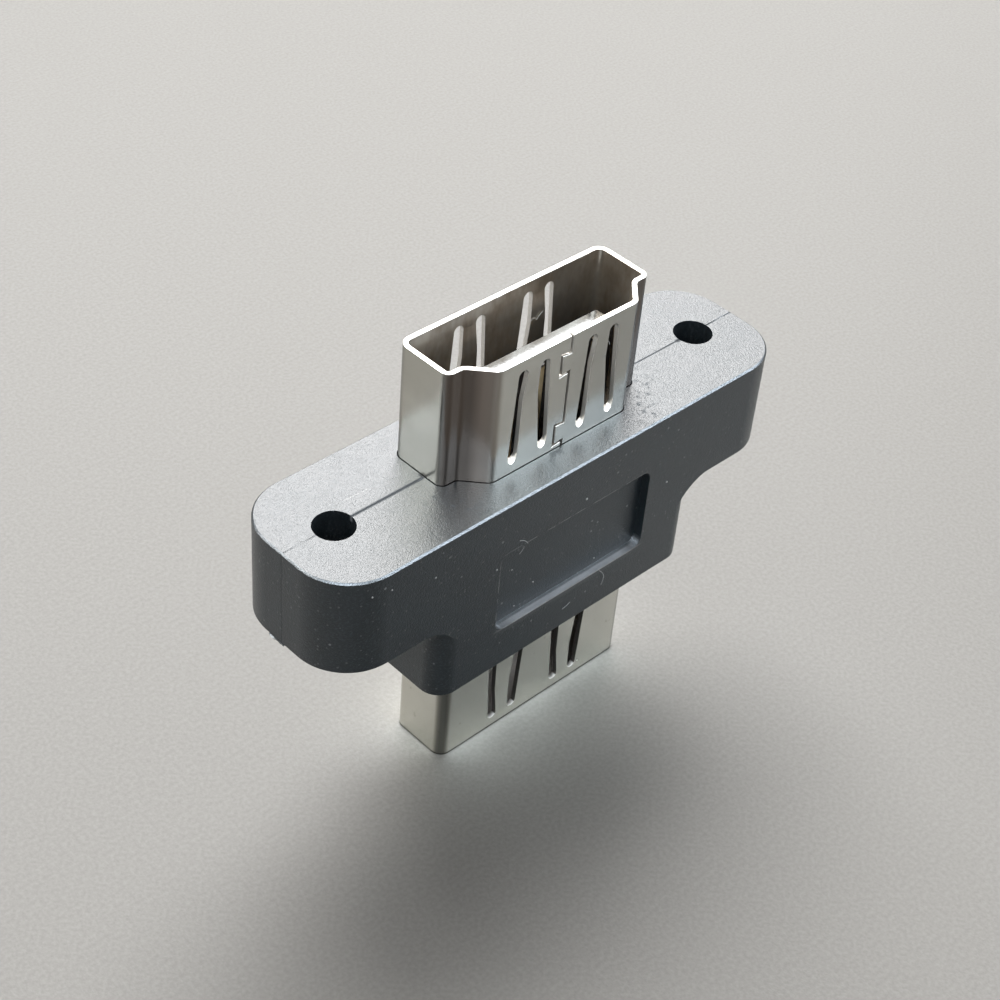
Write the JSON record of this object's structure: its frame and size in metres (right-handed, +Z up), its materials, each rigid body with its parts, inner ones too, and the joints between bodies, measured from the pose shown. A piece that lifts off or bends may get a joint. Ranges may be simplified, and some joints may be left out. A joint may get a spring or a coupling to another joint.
{
  "type": "hdmi panel mount adapter",
  "caption": "Straight coupler with a metal-shelled video socket at each end of a black moulded body, and a flange with screw holes for fixing it to a panel.",
  "frame": {"origin": "middle of the lower receptacle's rim, on which the part stands", "axes": "+Z up along the plugging direction of the upper receptacle, +X along the flange, +Y across it, away from the face with the recess"},
  "size_m": [0.0336, 0.009, 0.0267],
  "materials": {
    "body": "black moulded plastic with a fine matt texture",
    "shell": "nickel-plated sheet steel, smooth",
    "insulator": "black moulded plastic, smooth",
    "contact": "gold-plated copper alloy",
    "board": "green printed board",
    "inner_mould": "plain first moulding"
  },
  "bodies": {
    "root": {"moulded_body": "body", "inner_mould": "inner_mould", "circuit_board": "board", "upper_shell": "shell", "lower_shell": "shell", "upper_insulator": "insulator", "lower_insulator": "insulator", "upper_contact_01": "contact", "upper_contact_02": "contact", "upper_contact_03": "contact", "upper_contact_04": "contact", "upper_contact_05": "contact", "upper_contact_06": "contact", "upper_contact_07": "contact", "upper_contact_08": "contact", "upper_contact_09": "contact", "upper_contact_10": "contact", "upper_contact_11": "contact", "upper_contact_12": "contact", "upper_contact_13": "contact", "upper_contact_14": "contact", "upper_contact_15": "contact", "upper_contact_16": "contact", "upper_contact_17": "contact", "upper_contact_18": "contact", "upper_contact_19": "contact", "lower_contact_01": "contact", "lower_contact_02": "contact", "lower_contact_03": "contact", "lower_contact_04": "contact", "lower_contact_05": "contact", "lower_contact_06": "contact", "lower_contact_07": "contact", "lower_contact_08": "contact", "lower_contact_09": "contact", "lower_contact_10": "contact", "lower_contact_11": "contact", "lower_contact_12": "contact", "lower_contact_13": "contact", "lower_contact_14": "contact", "lower_contact_15": "contact", "lower_contact_16": "contact", "lower_contact_17": "contact", "lower_contact_18": "contact", "lower_contact_19": "contact"}
  },
  "joints": []
}
